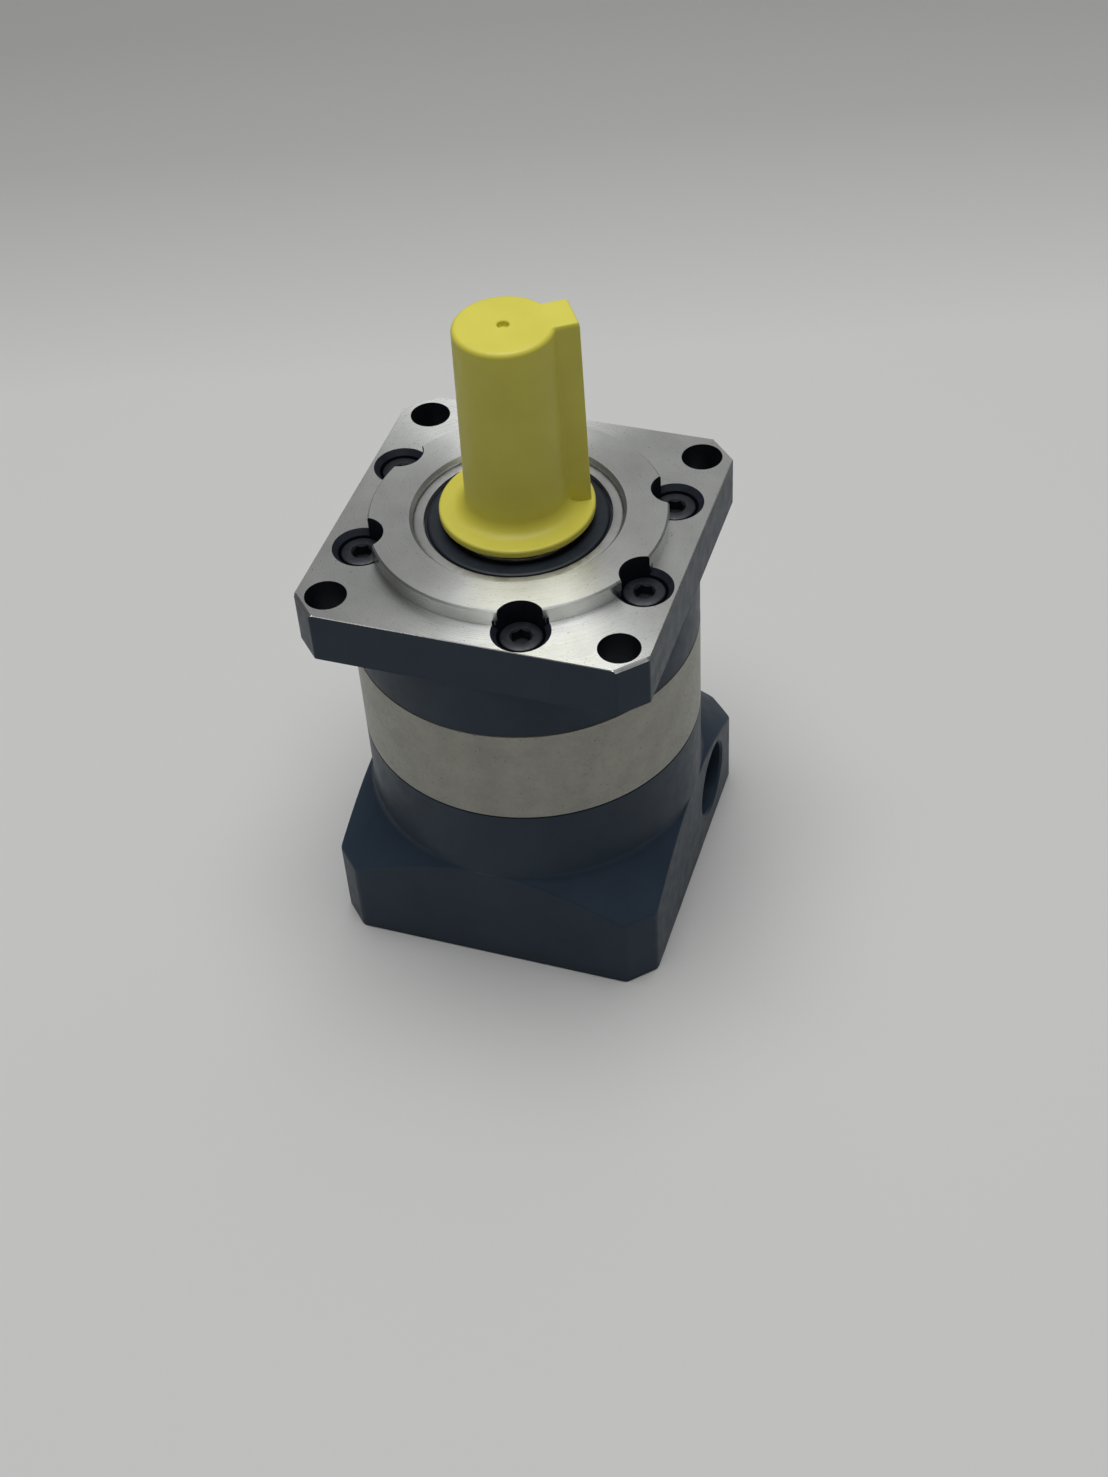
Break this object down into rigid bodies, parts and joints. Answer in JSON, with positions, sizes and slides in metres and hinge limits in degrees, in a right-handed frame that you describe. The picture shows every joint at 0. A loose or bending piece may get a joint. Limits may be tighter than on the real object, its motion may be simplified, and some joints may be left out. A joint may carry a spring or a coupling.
{
  "type": "inline gear reducer",
  "caption": "Inline planetary gear reducer with a square output flange, a keyed output shaft under a push-on cap, and a clamp hub for a motor shaft in its square base.",
  "frame": {"origin": "centre of the motor face, at the bottom centre of the bounding box", "axes": "+Z along the shaft towards the output; +X towards the side with the access plug"},
  "size_m": [0.06, 0.06, 0.1168],
  "materials": {
    "anodised": "satin black anodised, machined bright on the output face",
    "ring_steel": "bare satin steel",
    "bearing_steel": "ground",
    "turned_steel": "turned",
    "gear_steel": "oiled, hardened",
    "black_screw": "black oxide",
    "rubber": "moulded",
    "bronze": "sintered",
    "yellow_plastic": "soft moulded",
    "black_plastic": "moulded"
  },
  "bodies": {
    "housing": {"front_housing": "anodised", "ring_gear": "ring_steel", "rear_housing": "anodised", "case_screw_1": "black_screw", "case_screw_2": "black_screw", "case_screw_3": "black_screw", "case_screw_4": "black_screw", "case_screw_5": "black_screw", "case_screw_6": "black_screw", "front_bearing_outer_ring": "bearing_steel", "front_bearing_seal": "rubber", "inner_bearing_seal": "rubber", "rear_bearing_outer_ring": "bearing_steel", "housing_retaining_ring": "gear_steel", "input_bearing_outer_ring": "bearing_steel", "input_retaining_ring": "gear_steel", "input_seal": "rubber"},
    "output": {"output_shaft": "turned_steel", "shaft_key": "turned_steel", "carrier_plate": "turned_steel", "planet_pin_1": "bearing_steel", "planet_pin_2": "bearing_steel", "planet_pin_3": "bearing_steel", "lower_washer_1": "bronze", "lower_washer_2": "bronze", "lower_washer_3": "bronze", "upper_washer_1": "bronze", "upper_washer_2": "bronze", "upper_washer_3": "bronze", "front_bearing_inner_ring": "bearing_steel", "rear_bearing_inner_ring": "bearing_steel", "shaft_retaining_ring": "gear_steel"},
    "input": {"input_hub": "gear_steel", "clamp_collar": "turned_steel", "clamp_screw": "black_screw", "input_bearing_inner_ring": "bearing_steel"},
    "planet_1": {"planet_gear_1": "gear_steel", "planet_bush_1": "bronze"},
    "planet_2": {"planet_gear_2": "gear_steel", "planet_bush_2": "bronze"},
    "planet_3": {"planet_gear_3": "gear_steel", "planet_bush_3": "bronze"},
    "front_cage": {"front_bearing_cage": "bearing_steel"},
    "rear_cage": {"rear_bearing_cage": "bearing_steel"},
    "input_cage": {"input_bearing_cage": "bearing_steel"},
    "cap": {"shaft_cap": "yellow_plastic"},
    "plug": {"access_plug": "black_plastic"}
  },
  "joints": [
    {"name": "output_turn", "type": "hinge", "parent": "housing", "child": "output", "pos_m": [0, 0, 0.07], "axis": [0, 0, 1], "continuous": true},
    {"name": "input_turn", "type": "hinge", "parent": "housing", "child": "input", "pos_m": [0, 0, 0.03], "axis": [0, 0, 1], "continuous": true},
    {"name": "planet_turn_1", "type": "hinge", "parent": "output", "child": "planet_1", "pos_m": [0, 0.0135, 0.046], "axis": [0, 0, 1], "continuous": true},
    {"name": "planet_turn_2", "type": "hinge", "parent": "output", "child": "planet_2", "pos_m": [-0.01169, -0.00675, 0.046], "axis": [0, 0, 1], "continuous": true},
    {"name": "planet_turn_3", "type": "hinge", "parent": "output", "child": "planet_3", "pos_m": [0.01169, -0.00675, 0.046], "axis": [0, 0, 1], "continuous": true},
    {"name": "front_cage_turn", "type": "hinge", "parent": "housing", "child": "front_cage", "pos_m": [0, 0, 0.0741], "axis": [0, 0, 1], "continuous": true},
    {"name": "rear_cage_turn", "type": "hinge", "parent": "housing", "child": "rear_cage", "pos_m": [0, 0, 0.0644], "axis": [0, 0, 1], "continuous": true},
    {"name": "input_cage_turn", "type": "hinge", "parent": "housing", "child": "input_cage", "pos_m": [0, 0, 0.0305], "axis": [0, 0, 1], "continuous": true},
    {"name": "cap_pull", "type": "slide", "parent": "output", "child": "cap", "axis": [0, 0, 1], "range_m": [0, 0.04]},
    {"name": "plug_pull", "type": "slide", "parent": "housing", "child": "plug", "axis": [1, 0, 0], "range_m": [0, 0.012]}
  ],
  "couplings": [
    {"joint": "input_turn", "follows": "output_turn", "ratio": 5},
    {"joint": "planet_turn_1", "follows": "output_turn", "ratio": -2.6667},
    {"joint": "planet_turn_2", "follows": "output_turn", "ratio": -2.6667},
    {"joint": "planet_turn_3", "follows": "output_turn", "ratio": -2.6667},
    {"joint": "front_cage_turn", "follows": "output_turn", "ratio": 0.40846},
    {"joint": "rear_cage_turn", "follows": "output_turn", "ratio": 0.4234},
    {"joint": "input_cage_turn", "follows": "output_turn", "ratio": 2.1923}
  ]
}
